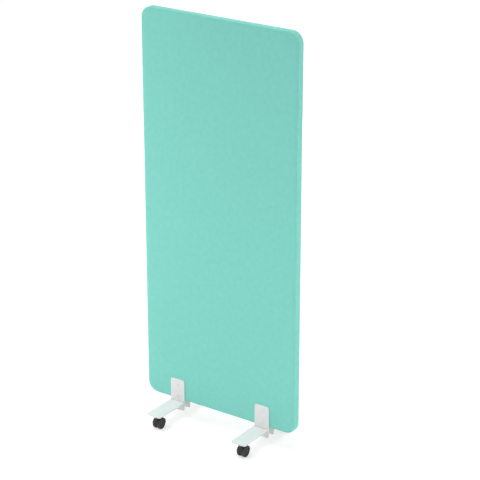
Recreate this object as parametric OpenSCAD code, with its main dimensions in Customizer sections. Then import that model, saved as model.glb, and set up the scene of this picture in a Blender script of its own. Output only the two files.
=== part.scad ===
// Free-standing acoustic divider screen. An upholstered panel hangs between two pairs of
// welded steel feet, and each foot rolls on a twin-wheel swivel castor.
// The origin is on the floor under the middle of the screen. X runs along the panel, Y runs
// through it with the front at -Y, and Z is up. All lengths are millimetres.

/* [Panel] */
// Width of the upholstered panel
panel_w = 800; // [600:10:1600]
// Height of the upholstered panel
panel_h = 1800; // [1200:10:2200]
// Thickness of the panel over both covers
panel_t = 36; // [32:1:50]
// Radius of the four corners, seen from the front
corner_r = 50; // [35:1:80]
// Rounding of the front and rear edges
edge_r = 6; // [5:0.5:9]
// Gap between the lower edge of the panel and the top of the legs
panel_gap = 8; // [4:1:20]

/* [Upholstery] */
// Thickness of the wool covers
cover_t = 1.5; // [1:0.1:2.5]
// Thickness of the wadding under the covers
wadding_t = 4; // [2:0.5:5]

/* [Timber frame] */
// Width of the stiles and height of the rails
member_w = 45; // [35:1:60]
// Side of the four corner blocks
block_side = 90; // [80:1:110]
// Width of the blocks that take the upper foot screws
foot_block_w = 120; // [90:1:140]
// Height of the blocks that take the upper foot screws
foot_block_h = 50; // [45:1:90]
// Diameter of the frame dowels
dowel_d = 8; // [6:1:10]
// Length of the frame dowels
dowel_l = 40; // [24:2:60]
// Distance between the two dowels of a joint
dowel_pitch = 22; // [16:1:26]
// Play of the absorber slabs between the frame members
slab_play = 0.5; // [0.2:0.1:0.9]

/* [Feet] */
// Distance from the side of the panel to the middle of a foot
foot_inset = 170; // [160:5:250]
// Width of a foot
foot_w = 75; // [60:1:100]
// Height of the upright plate above the top of the leg
upright_h = 107; // [95:1:140]
// Length of the tab that the upright leaves under the top of the leg
tab_h = 43; // [20:1:50]
// Thickness of the upright plate
upright_t = 5; // [3:0.5:8]
// Corner radius of the upright plate
upright_r = 9; // [3:1:20]
// Length of the leg plate in front of the upright
leg_len = 182; // [150:1:260]
// Thickness of the leg plate
leg_t = 6; // [4:0.5:10]
// Radius of the outer corners of the leg plate
leg_r = 9; // [5:1:37]
// Size of the weld fillets above and under the leg
weld_s = 4; // [2:0.5:6]
// Distance that a weld stops short of the sides of the foot
weld_inset = 3; // [1:0.5:12]
// Diameter of the welded boss that takes the castor stem
boss_d = 18; // [14:1:24]
// Height of the welded boss
boss_h = 9; // [6:0.5:14]

/* [Foot screws] */
// Distance from the top of the upright to the upper screw
screw_drop = 27; // [18:1:32]
// Distance between the upper and the lower screw
screw_pitch = 54; // [45:1:62]
// Shank diameter of a screw
screw_d = 6; // [4:0.5:7]
// Length of a screw under its head
screw_len = 28; // [18:1:36]
// Outer diameter of a sleeve nut
sleeve_d = 8; // [7.5:0.5:10]
// Depth of the bore of a sleeve nut
sleeve_bore_l = 26; // [20:1:32]
// Diameter of the flat heads
head_d = 13; // [11:0.5:18]
// Height of the flat heads
head_h = 2; // [1.5:0.1:4]
// Distance across the flats of the key socket
socket_af = 4; // [3:0.5:5]
// Depth of the key socket
socket_depth = 1.4; // [0.8:0.1:2.5]
// Play of the screws and sleeves in their holes, all round
screw_play = 0.2; // [0.1:0.05:0.5]

/* [Castors] */
// Distance from the outer end of the leg to the castor stem
stem_inset = 24; // [16:1:60]
// Distance from the stem to the axle, seen from above
trail = 18; // [16:0.5:24]
// Diameter over the tread
wheel_d = 50; // [44:1:60]
// Width of one wheel
wheel_w = 12; // [10:0.5:16]
// Gap between the two wheels of a castor
wheel_gap = 12; // [11.5:0.5:18]
// Thickness of the soft tread
tread_t = 3; // [2:0.5:5]
// Rounding of the tread shoulders
tread_r = 1.5; // [0.5:0.25:2]
// Diameter of the axle
axle_d = 6; // [4:0.5:8]
// Height of the castor from the floor to the boss
castor_h = 63; // [60:0.5:80]
// Play between the tread and the hood
hood_play = 1.5; // [1:0.25:3]
// Wall of the hood
hood_t = 2; // [1.5:0.25:3]
// Diameter of the journal that turns in the housing
journal_d = 7; // [5:0.5:7.5]
// Diameter of the threaded end of the stem
thread_d = 10; // [8:1:12]

/* [Hidden] */
$fn = 96;

// Colours of the finishes
wool = [0.52, 0.82, 0.77];
wadding_white = [0.93, 0.93, 0.9];
pine = [0.86, 0.72, 0.5];
ply = [0.8, 0.64, 0.42];
mineral = [0.75, 0.71, 0.55];
white_coat = [0.9, 0.92, 0.92];
zinc = [0.72, 0.73, 0.75];
black_nylon = [0.09, 0.09, 0.1];
dark_rubber = [0.14, 0.14, 0.15];

// Every cut runs past the solid that it cuts by this much
overrun = 1;

// Frame of the panel, inside the cover and the wadding
skin = cover_t + wadding_t;
frame_w = panel_w - 2 * skin;
frame_h = panel_h - 2 * skin;
frame_t = panel_t - 2 * skin;
frame_r = corner_r - skin;
opening_w = frame_w - 2 * member_w;
dowel_play = 0.05;

// Heights from the floor up
boss_z = castor_h;
leg_z = boss_z + boss_h;
leg_top = leg_z + leg_t;
panel_z = leg_top + panel_gap;
panel_mid_z = panel_z + panel_h / 2;
tab_z = leg_top - tab_h;
upright_top = leg_top + upright_h;
screw_high_z = upright_top - screw_drop;
screw_low_z = screw_high_z - screw_pitch;
frame_z = panel_z + skin;
foot_block_z = frame_z + member_w;

// Places of the feet and of the castor stems
foot_x = panel_w / 2 - foot_inset;
foot_face = panel_t / 2 + upright_t;
leg_end = foot_face + leg_len;
stem_y = leg_end - stem_inset;

// Foot screws and sleeve nuts
head_edge = 0.6;
sleeve_setback = 1;
sleeve_tip = frame_t / 2 - sleeve_setback;
thread_play = 0.05;

// Stem, from the boss down into the housing
axle_z = wheel_d / 2;
hex_af = 13;
hex_h = 2;
flange_d = 15;
flange_h = 2;
flange_play = 0.5;
thread_end_play = 0.3;
journal_play = 0.05;
journal_end_play = 0.5;
socket_floor = 2;
socket_wall = 2;
socket_d = journal_d + 2 * socket_wall;
flange_z = boss_z - hex_h - flange_h;
collar_top = flange_z - flange_play;
journal_tip = axle_z + axle_d + socket_floor + journal_end_play;

// Ring that holds the journal in the housing
ring_t = 1;
ring_h = 1;
ring_groove_depth = 0.6;
ring_play = 0.15;
ring_z = journal_tip + 2 * ring_h;
ring_seat_d = journal_d - 2 * ring_groove_depth;
ring_d = journal_d + 2 * (ring_t - ring_groove_depth);

// Housing
collar_d = 18;
collar_h = 16;
web_t = 8;
web_arm_w = 8;
web_rise = 2.5;
side_play = 0.5;
axle_boss_r = 6.5;
hood_inner_r = wheel_d / 2 + hood_play;
hood_outer_r = hood_inner_r + hood_t;
hood_reveal = 1;
hood_w = wheel_gap + 2 * (wheel_w - hood_reveal);
hood_rear_angle = -8;
hood_front_angle = 166;
axle_press_play = 0.02;

// Wheels
running_play = 0.05;
tread_seat_play = 0.05;
rim_t = 2.5;
rim_outer_r = wheel_d / 2 - tread_t;
rim_inner_r = rim_outer_r - rim_t;
hub_r = 6.5;
disc_t = 2;
disc_depth = 1.5;
cap_r = 9;
cap_edge = 1;
hub_reveal = 0.25;
bore_floor = 2;
rib_count = 6;
rib_t = 1.6;
rib_depth = 3;
axle_end_play = 0.5;
axle_l = wheel_gap + 2 * (wheel_w - bore_floor - axle_end_play);
axle_edge = 0.5;

// Shapes that repeat

// Rectangle of width w and height h about the origin, with corners of radius r
module round_rect(w, h, r) {
    square([w - 2 * r, h], center = true);
    square([w, h - 2 * r], center = true);
    for (sx = [-1, 1], sy = [-1, 1])
        translate([sx * (w / 2 - r), sy * (h / 2 - r)])
            circle(r);
}

// Stands a flat outline up in the XZ plane, its thickness growing towards -Y from the
// distance y0 in front of the middle plane
module stand(y0, t) {
    rotate([90, 0, 0])
        translate([0, 0, y0])
            linear_extrude(t)
                children();
}

// Section through half the panel from a corner's centre out to its edge: reach wide and
// deep high, with the outer corner rounded by r
module half_section(reach, deep, r) {
    square([reach - r, deep]);
    square([reach, deep - r]);
    translate([reach - r, deep - r])
        circle(r);
}

// Carries a section round the panel: a quarter turn at each corner, a straight run along
// each side, and a sheet of thickness t over the field between them
module round_the_panel(t) {
    field_w = panel_w - 2 * corner_r;
    field_h = panel_h - 2 * corner_r;
    translate([0, 0, panel_mid_z])
        rotate([90, 0, 0]) {
            for (q = [0:3]) {
                along = q % 2 == 0 ? field_h : field_w;
                out = q % 2 == 0 ? field_w : field_h;
                rotate(90 * q) {
                    translate([out / 2, along / 2, 0])
                        rotate_extrude(angle = 90)
                            children();
                    translate([out / 2, along / 2, 0])
                        rotate([90, 0, 0])
                            linear_extrude(along)
                                children();
                }
            }
            translate([-field_w / 2, -field_h / 2, t[0]])
                cube([field_w, field_h, t[1] - t[0]]);
        }
}

// Round holes through the panel at the four foot screws
module screw_holes(d, from_y, to_y) {
    for (sx = [-1, 1], z = [screw_low_z, screw_high_z])
        translate([sx * foot_x, to_y, z])
            rotate([90, 0, 0])
                cylinder(d = d, h = to_y - from_y);
}

// Half of the cover: the wool wraps round the edges to the seam in the middle plane
module half_cover() {
    round_the_panel([panel_t / 2 - cover_t, panel_t / 2])
        difference() {
            half_section(corner_r, panel_t / 2, edge_r);
            translate([-overrun, -overrun])
                half_section(corner_r - cover_t + overrun, panel_t / 2 - cover_t + overrun,
                    edge_r - cover_t);
        }
}

// Half of the wadding, from the cover in to the timber frame
module half_wadding() {
    round_the_panel([frame_t / 2, panel_t / 2 - cover_t])
        difference() {
            half_section(corner_r - cover_t, panel_t / 2 - cover_t, edge_r - cover_t);
            translate([-overrun, -overrun])
                square([frame_r + overrun, frame_t / 2 + overrun]);
        }
}

// Upright frame member, w along X and h along Z, with its lower left corner at x, z
module member(x, z, w, h) {
    translate([x, -frame_t / 2, z])
        cube([w, frame_t, h]);
}

// Two dowels across a joint at x, z: along Z where the stiles meet the blocks, along X
// where the rails do
module dowel_pair(x, z, upright, d, l) {
    for (side = [-1, 1])
        translate([x, 0, z])
            rotate([0, upright ? 0 : 90, 0])
                translate([side * dowel_pitch / 2, 0, -l / 2])
                    cylinder(d = d, h = l);
}

// All the dowel joints of the frame, as dowels or, with play, as their holes
module all_dowels(play) {
    d = dowel_d + 2 * play;
    l = dowel_l + 2 * play;
    for (sx = [-1, 1]) {
        for (z = [frame_z + block_side, frame_z + frame_h - block_side])
            dowel_pair(sx * (frame_w - member_w) / 2, z, true, d, l);
        for (z = [frame_z + member_w / 2, frame_z + frame_h - member_w / 2])
            dowel_pair(sx * (frame_w / 2 - block_side), z, false, d, l);
        dowel_pair(sx * opening_w / 2, panel_mid_z, false, d, l);
    }
}

module stile(side) {
    difference() {
        member(side * (frame_w - member_w) / 2 - member_w / 2, frame_z + block_side,
            member_w, frame_h - 2 * block_side);
        all_dowels(dowel_play);
    }
}

module end_rail(z) {
    difference() {
        member(block_side - frame_w / 2, z, frame_w - 2 * block_side, member_w);
        all_dowels(dowel_play);
        screw_holes(sleeve_d + 2 * screw_play, -panel_t, panel_t);
    }
}

// Corner block: the outer corner follows the panel's radius, and the inner corner is cut
// off between the ends of the stile and the rail
module corner_block(sx, sz) {
    slope = block_side - member_w;
    difference() {
        translate([sx * frame_w / 2, 0, panel_mid_z + sz * frame_h / 2])
            scale([-sx, 1, -sz])
                stand(-frame_t / 2, frame_t)
                    difference() {
                        union() {
                            translate([frame_r, 0])
                                square([block_side - frame_r, block_side]);
                            translate([0, frame_r])
                                square([block_side, block_side - frame_r]);
                            translate([frame_r, frame_r])
                                circle(frame_r);
                        }
                        polygon([[block_side, member_w], [block_side + overrun, member_w],
                            [block_side + overrun, block_side + overrun],
                            [member_w, block_side + overrun],
                            [block_side - slope, block_side]]);
                    }
        all_dowels(dowel_play);
    }
}

module foot_block(side) {
    difference() {
        member(side * foot_x - foot_block_w / 2, foot_block_z, foot_block_w, foot_block_h);
        screw_holes(sleeve_d + 2 * screw_play, -panel_t, panel_t);
    }
}

// Absorber slab between z0 and z1, with its corners cut to clear the corner blocks where
// cut_z is -1 for its lower corners and 1 for its upper ones
module absorber(z0, z1, cut_z) {
    w = opening_w - 2 * slab_play;
    h = z1 - z0 - 2 * slab_play;
    slope = block_side - member_w + slab_play;
    difference() {
        translate([0, 0, (z0 + z1) / 2])
            stand(-frame_t / 2, frame_t)
                difference() {
                    square([w, h], center = true);
                    for (sx = [-1, 1])
                        translate([sx * w / 2, cut_z * h / 2])
                            scale([-sx, -cut_z])
                                polygon([[-overrun, -overrun], [slope, -overrun], [slope, 0],
                                    [0, slope], [-overrun, slope]]);
                }
        if (cut_z < 0)
            for (sx = [-1, 1])
                translate([sx * foot_x - foot_block_w / 2 - slab_play, -panel_t / 2,
                    foot_block_z - overrun])
                    cube([foot_block_w + 2 * slab_play, panel_t,
                        foot_block_h + slab_play + overrun]);
    }
}

// Weld fillet along X in the corner between two faces
module weld(z, up) {
    l = foot_w - 2 * weld_inset;
    translate([-l / 2, -foot_face, z])
        scale([1, 1, up])
            rotate([90, 0, 90])
                linear_extrude(l)
                    difference() {
                        translate([-weld_s, -upright_t / 2])
                            square([weld_s + upright_t / 2, weld_s + upright_t / 2]);
                        translate([-weld_s, weld_s])
                            circle(weld_s);
                    }
}

// Foot weldment: upright plate, leg plate, welds and the boss for the castor stem.
// front is 1 for a foot in front of the panel and -1 for one behind it
module foot(side, front) {
    translate([side * foot_x, 0, 0])
        rotate(front > 0 ? 0 : 180)
            difference() {
                union() {
                    translate([0, 0, (upright_top + tab_z) / 2])
                        stand(panel_t / 2, upright_t)
                            round_rect(foot_w, upright_top - tab_z, upright_r);
                    translate([0, 0, leg_z])
                        linear_extrude(leg_t)
                            union() {
                                translate([0, -(leg_end + foot_face) / 2])
                                    round_rect(foot_w, leg_len, leg_r);
                                translate([-foot_w / 2, -leg_end + 2 * leg_r])
                                    square([foot_w, leg_len - 2 * leg_r + upright_t / 2]);
                            }
                    weld(leg_top, 1);
                    weld(leg_z, -1);
                    translate([0, -stem_y, boss_z])
                        cylinder(d = boss_d, h = boss_h);
                }
                translate([0, -stem_y, boss_z - overrun])
                    cylinder(d = thread_d + 2 * thread_play, h = boss_h + overrun);
                hole_d = (front > 0 ? screw_d : sleeve_d) + 2 * screw_play;
                for (z = [screw_low_z, screw_high_z])
                    translate([0, -panel_t / 2 + overrun, z])
                        rotate([90, 0, 0])
                            cylinder(d = hole_d, h = upright_t + 2 * overrun);
            }
}

// Flat head with an eased rim, its seat at z 0, with a hexagon key socket in its top
module flat_head() {
    difference() {
        union() {
            cylinder(d = head_d, h = head_h - head_edge);
            translate([0, 0, head_h - head_edge])
                cylinder(d1 = head_d, d2 = head_d - 2 * head_edge, h = head_edge);
        }
        translate([0, 0, head_h - socket_depth])
            cylinder(d = socket_af / cos(30), h = socket_depth + overrun, $fn = 6);
    }
}

module at_foot_screws(front) {
    for (side = [-1, 1], z = [screw_low_z, screw_high_z])
        translate([side * foot_x, -front * foot_face, z])
            rotate([90 * front, 0, 0])
                children();
}

// Puts a castor drawn with its stem at the origin and its wheels trailing to +Y at a foot.
// All castors trail towards the panel
module at_castor(side, front) {
    translate([side * foot_x, -front * stem_y, 0])
        rotate(front > 0 ? 0 : 180)
            children();
}

// Turns a solid drawn along Z about the origin to lie along the axle
module on_axle() {
    translate([0, trail, axle_z])
        rotate([90, 0, 90])
            children();
}

// Stem: thread, spanner flats, flange, and the journal with its ring groove
module stem() {
    translate([0, 0, boss_z])
        cylinder(d = thread_d, h = boss_h - thread_end_play);
    translate([0, 0, boss_z - hex_h])
        cylinder(d = hex_af / cos(30), h = hex_h, $fn = 6);
    translate([0, 0, flange_z])
        cylinder(d = flange_d, h = flange_h);
    difference() {
        translate([0, 0, journal_tip])
            cylinder(d = journal_d, h = flange_z - journal_tip);
        translate([0, 0, ring_z])
            difference() {
                cylinder(d = journal_d + overrun, h = ring_h + ring_play);
                cylinder(d = ring_seat_d, h = ring_h + ring_play);
            }
    }
}

// Snap ring in the groove of the journal
module stem_ring() {
    translate([0, 0, ring_z + ring_play / 2])
        difference() {
            cylinder(d = ring_d, h = ring_h);
            translate([0, 0, -overrun])
                cylinder(d = ring_seat_d + ring_play, h = ring_h + 2 * overrun);
        }
}

// Outline of the web between the wheels, seen along the axle with the axle at the origin
module web_outline() {
    circle(wheel_d / 2 - web_rise);
    rotate(hood_rear_angle / 2)
        translate([0, -web_arm_w / 2])
            square([hood_inner_r + hood_t / 2, web_arm_w]);
    intersection() {
        circle(hood_inner_r + hood_t / 2);
        translate([-trail - socket_d / 2, 0])
            square([trail + socket_d / 2 + web_arm_w, hood_outer_r]);
    }
}

// Hood: a ring about the axle, open below the two angles
module hood_outline() {
    reach = 2 * hood_outer_r;
    intersection() {
        difference() {
            circle(hood_outer_r);
            circle(hood_inner_r);
        }
        polygon([[0, 0],
            [reach * cos(hood_rear_angle), reach * sin(hood_rear_angle)],
            [reach, reach], [-reach, reach],
            [reach * cos(hood_front_angle), reach * sin(hood_front_angle)]]);
    }
}

// Moulded housing: hood, web, stem socket with its collar, and the boss for the axle
module housing() {
    difference() {
        union() {
            on_axle()
                translate([0, 0, -hood_w / 2])
                    linear_extrude(hood_w)
                        hood_outline();
            difference() {
                translate([0, 0, collar_top - collar_h])
                    cylinder(d = collar_d, h = collar_h);
                on_axle()
                    translate([0, 0, -hood_w])
                        cylinder(r = hood_inner_r, h = 2 * hood_w);
            }
            on_axle() {
                translate([0, 0, -web_t / 2])
                    linear_extrude(web_t)
                        web_outline();
                translate([0, 0, side_play - wheel_gap / 2])
                    cylinder(r = axle_boss_r, h = wheel_gap - 2 * side_play);
            }
            translate([0, 0, journal_tip - journal_end_play - socket_floor])
                cylinder(d = socket_d, h = collar_top - journal_tip + journal_end_play
                    + socket_floor);
        }
        translate([0, 0, journal_tip - journal_end_play])
            cylinder(d = journal_d + 2 * journal_play, h = castor_h);
        translate([0, 0, ring_z - ring_play])
            cylinder(d = ring_d + 2 * ring_play, h = ring_h + 3 * ring_play);
        on_axle()
            translate([0, 0, -wheel_gap])
                cylinder(d = axle_d + 2 * axle_press_play, h = 2 * wheel_gap);
    }
}

module axle() {
    on_axle() {
        translate([0, 0, axle_edge - axle_l / 2])
            cylinder(d = axle_d, h = axle_l - 2 * axle_edge);
        for (end = [-1, 1])
            scale([1, 1, end])
                translate([0, 0, axle_l / 2 - axle_edge])
                    cylinder(d1 = axle_d, d2 = axle_d - 2 * axle_edge, h = axle_edge);
    }
}

// Puts a wheel part drawn with its inner face at z 0 on one side of the web
module at_wheel(outward) {
    on_axle()
        scale([1, 1, outward])
            translate([0, 0, wheel_gap / 2])
                children();
}

// Wheel body: rim, dished disc, capped hub with a blind bore, and ribs on the inside
module wheel_body() {
    difference() {
        union() {
            rotate_extrude()
                polygon([[0, hub_reveal], [hub_r, hub_reveal],
                    [hub_r, wheel_w - disc_depth - disc_t],
                    [rim_inner_r, wheel_w - disc_depth - disc_t],
                    [rim_inner_r, 0], [rim_outer_r, 0], [rim_outer_r, wheel_w - cap_edge],
                    [rim_outer_r - cap_edge, wheel_w], [rim_inner_r, wheel_w],
                    [rim_inner_r - disc_depth, wheel_w - disc_depth],
                    [cap_r + disc_depth, wheel_w - disc_depth],
                    [cap_r, wheel_w - hub_reveal], [0, wheel_w - hub_reveal]]);
            for (k = [0:rib_count - 1])
                rotate(360 * k / rib_count)
                    translate([hub_r - rib_t / 2, -rib_t / 2, rib_depth])
                        cube([rim_inner_r - hub_r + rib_t, rib_t,
                            wheel_w - disc_depth - disc_t / 2 - rib_depth]);
        }
        translate([0, 0, -overrun])
            cylinder(d = axle_d + 2 * running_play, h = wheel_w - bore_floor + overrun);
    }
}

// Soft tread with rounded shoulders
module tread_ring() {
    inner_r = rim_outer_r + tread_seat_play;
    rotate_extrude()
        difference() {
            translate([wheel_d / 4, wheel_w / 2])
                round_rect(wheel_d / 2, wheel_w, tread_r);
            translate([-overrun, -overrun])
                square([inner_r + overrun, wheel_w + 2 * overrun]);
        }
}

// Panel
module front_cover() {
    color(wool)
        difference() {
            half_cover();
            screw_holes(screw_d + 2 * screw_play, -panel_t, 0);
        }
}
module rear_cover() {
    color(wool)
        difference() {
            rotate(180)
                half_cover();
            screw_holes(sleeve_d + 2 * screw_play, 0, panel_t);
        }
}
module front_wadding() {
    color(wadding_white)
        difference() {
            half_wadding();
            screw_holes(screw_d + 2 * screw_play, -panel_t, 0);
        }
}
module rear_wadding() {
    color(wadding_white)
        difference() {
            rotate(180)
                half_wadding();
            screw_holes(sleeve_d + 2 * screw_play, 0, panel_t);
        }
}
module left_stile() { color(pine) stile(-1); }
module right_stile() { color(pine) stile(1); }
module top_rail() { color(pine) end_rail(frame_z + frame_h - member_w); }
module middle_rail() {
    color(pine)
        difference() {
            member(-opening_w / 2, panel_mid_z - member_w / 2, opening_w, member_w);
            all_dowels(dowel_play);
        }
}
module bottom_rail() { color(pine) end_rail(frame_z); }
module top_left_corner_block() { color(ply) corner_block(-1, 1); }
module top_right_corner_block() { color(ply) corner_block(1, 1); }
module bottom_left_corner_block() { color(ply) corner_block(-1, -1); }
module bottom_right_corner_block() { color(ply) corner_block(1, -1); }
module left_foot_block() { color(ply) foot_block(-1); }
module right_foot_block() { color(ply) foot_block(1); }
module frame_dowels() { color(pine) all_dowels(0); }
module upper_absorber() {
    color(mineral) absorber(panel_mid_z + member_w / 2, frame_z + frame_h - member_w, 1);
}
module lower_absorber() {
    color(mineral) absorber(frame_z + member_w, panel_mid_z - member_w / 2, -1);
}

// Feet and their fasteners
module front_left_foot() { color(white_coat) foot(-1, 1); }
module front_right_foot() { color(white_coat) foot(1, 1); }
module rear_left_foot() { color(white_coat) foot(-1, -1); }
module rear_right_foot() { color(white_coat) foot(1, -1); }
module foot_screws() {
    color(white_coat)
        at_foot_screws(1) {
            flat_head();
            translate([0, 0, -screw_len])
                cylinder(d = screw_d, h = screw_len);
        }
}
module sleeve_nuts() {
    barrel_l = foot_face + sleeve_tip;
    color(white_coat)
        at_foot_screws(-1)
            difference() {
                union() {
                    flat_head();
                    translate([0, 0, -barrel_l])
                        cylinder(d = sleeve_d, h = barrel_l);
                }
                translate([0, 0, -barrel_l - overrun])
                    cylinder(d = screw_d + 2 * thread_play, h = sleeve_bore_l + overrun);
            }
}

// Castors
module stem_rings() {
    color(zinc)
        for (side = [-1, 1], front = [-1, 1])
            at_castor(side, front)
                stem_ring();
}
module front_left_stem() { color(zinc) at_castor(-1, 1) stem(); }
module front_right_stem() { color(zinc) at_castor(1, 1) stem(); }
module rear_left_stem() { color(zinc) at_castor(-1, -1) stem(); }
module rear_right_stem() { color(zinc) at_castor(1, -1) stem(); }
module front_left_housing() { color(black_nylon) at_castor(-1, 1) housing(); }
module front_right_housing() { color(black_nylon) at_castor(1, 1) housing(); }
module rear_left_housing() { color(black_nylon) at_castor(-1, -1) housing(); }
module rear_right_housing() { color(black_nylon) at_castor(1, -1) housing(); }
module front_left_axle() { color(zinc) at_castor(-1, 1) axle(); }
module front_right_axle() { color(zinc) at_castor(1, 1) axle(); }
module rear_left_axle() { color(zinc) at_castor(-1, -1) axle(); }
module rear_right_axle() { color(zinc) at_castor(1, -1) axle(); }

// Outer wheels are on the side of their castor away from the middle of the screen
module wheel(side, front, outward) {
    color(black_nylon)
        at_castor(side, front)
            at_wheel(outward * side * front)
                wheel_body();
}
module tread(side, front, outward) {
    color(dark_rubber)
        at_castor(side, front)
            at_wheel(outward * side * front)
                tread_ring();
}
module front_left_outer_wheel() { wheel(-1, 1, 1); }
module front_left_inner_wheel() { wheel(-1, 1, -1); }
module front_right_outer_wheel() { wheel(1, 1, 1); }
module front_right_inner_wheel() { wheel(1, 1, -1); }
module rear_left_outer_wheel() { wheel(-1, -1, 1); }
module rear_left_inner_wheel() { wheel(-1, -1, -1); }
module rear_right_outer_wheel() { wheel(1, -1, 1); }
module rear_right_inner_wheel() { wheel(1, -1, -1); }
module front_left_outer_tread() { tread(-1, 1, 1); }
module front_left_inner_tread() { tread(-1, 1, -1); }
module front_right_outer_tread() { tread(1, 1, 1); }
module front_right_inner_tread() { tread(1, 1, -1); }
module rear_left_outer_tread() { tread(-1, -1, 1); }
module rear_left_inner_tread() { tread(-1, -1, -1); }
module rear_right_outer_tread() { tread(1, -1, 1); }
module rear_right_inner_tread() { tread(1, -1, -1); }

front_cover();
rear_cover();
front_wadding();
rear_wadding();
left_stile();
right_stile();
top_rail();
middle_rail();
bottom_rail();
top_left_corner_block();
top_right_corner_block();
bottom_left_corner_block();
bottom_right_corner_block();
left_foot_block();
right_foot_block();
frame_dowels();
upper_absorber();
lower_absorber();
front_left_foot();
front_right_foot();
rear_left_foot();
rear_right_foot();
foot_screws();
sleeve_nuts();
stem_rings();
front_left_stem();
front_right_stem();
rear_left_stem();
rear_right_stem();
front_left_housing();
front_right_housing();
rear_left_housing();
rear_right_housing();
front_left_axle();
front_right_axle();
rear_left_axle();
rear_right_axle();
front_left_outer_wheel();
front_left_inner_wheel();
front_right_outer_wheel();
front_right_inner_wheel();
rear_left_outer_wheel();
rear_left_inner_wheel();
rear_right_outer_wheel();
rear_right_inner_wheel();
front_left_outer_tread();
front_left_inner_tread();
front_right_outer_tread();
front_right_inner_tread();
rear_left_outer_tread();
rear_left_inner_tread();
rear_right_outer_tread();
rear_right_inner_tread();
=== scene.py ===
"""Looks of a free-standing acoustic divider screen: an upholstered panel between four
powder-coated steel feet on black twin-wheel castors. Sizes are in metres, X along the
panel, Y through it with the front at -Y, Z up from the floor."""

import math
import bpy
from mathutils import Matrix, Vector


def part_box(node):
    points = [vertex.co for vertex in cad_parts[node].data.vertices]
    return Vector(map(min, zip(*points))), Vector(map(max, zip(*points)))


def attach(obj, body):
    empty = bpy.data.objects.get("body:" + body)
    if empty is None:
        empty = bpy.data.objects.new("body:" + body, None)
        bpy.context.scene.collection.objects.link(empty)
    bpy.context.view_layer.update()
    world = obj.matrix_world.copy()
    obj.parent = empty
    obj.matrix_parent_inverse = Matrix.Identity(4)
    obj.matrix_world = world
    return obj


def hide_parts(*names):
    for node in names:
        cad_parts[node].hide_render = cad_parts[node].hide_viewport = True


bl_info = {
    "name": "Acoustic Divider Screen",
    "version": (1, 0, 0),
    "blender": (4, 5, 0),
    "location": "View3D > Sidebar > Divider Screen",
    "description": "Upholstery, steel feet, castors and studio of an acoustic divider screen",
    "category": "Add Mesh",
}

import bmesh
import bpy
from bpy.props import FloatProperty, FloatVectorProperty, IntProperty, PointerProperty
from mathutils import Matrix, Vector, noise

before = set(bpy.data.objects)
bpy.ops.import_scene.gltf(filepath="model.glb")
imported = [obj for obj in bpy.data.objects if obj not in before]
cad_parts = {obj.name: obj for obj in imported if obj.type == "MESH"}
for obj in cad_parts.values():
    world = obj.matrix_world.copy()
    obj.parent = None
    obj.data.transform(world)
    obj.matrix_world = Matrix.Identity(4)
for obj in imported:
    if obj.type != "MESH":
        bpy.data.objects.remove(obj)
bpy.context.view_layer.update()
PANEL_LOW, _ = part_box("front_cover")
_, PANEL_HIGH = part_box("rear_cover")
# Corners: name, side along X, side along Y
CORNERS = (
    ("front_left", -1, -1),
    ("front_right", 1, -1),
    ("rear_left", -1, 1),
    ("rear_right", 1, 1),
)


# Settings


def number(name, description, default, **options):
    return FloatProperty(
        name=name, description=description, default=default, min=0.0, **options
    )


def length(name, description, default):
    return number(name, description, default, unit="LENGTH", precision=4)


def angle(name, description, degrees):
    turn = math.radians(degrees)
    return FloatProperty(name=name, description=description, default=turn, subtype="ANGLE")


def colour(name, description, default):
    return FloatVectorProperty(
        name=name,
        description=description,
        default=default,
        size=3,
        min=0.0,
        max=1.0,
        subtype="COLOR",
    )


class PanelSettings(bpy.types.PropertyGroup):
    """Sizes and colours of the upholstery"""

    corner_radius: length("Corner radius", "Radius of the panel's corners", 0.05)
    edge_radius: length("Edge radius", "Rounding of the panel's edges", 0.006)
    skin: length("Skin", "Wool and wadding together", 0.0055)
    crown: length("Crown", "How far the padding swells the face", 0.0013)
    cell: length("Cell", "Size of the cloth's cells before smoothing", 0.016)
    unevenness: length("Unevenness", "Height of the soft waves in the face", 0.0002)
    thread: length("Thread", "Distance between two threads of the wool", 0.0016)
    wool_light: colour("Light fibre", "Light fibre of the wool", (0.264, 0.713, 0.627))
    wool_dark: colour("Dark fibre", "Dark fibre of the wool", (0.172, 0.574, 0.494))
    steps: IntProperty(
        name="Cloth steps", description="Frames of the cloth run", default=16, min=2
    )


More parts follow.
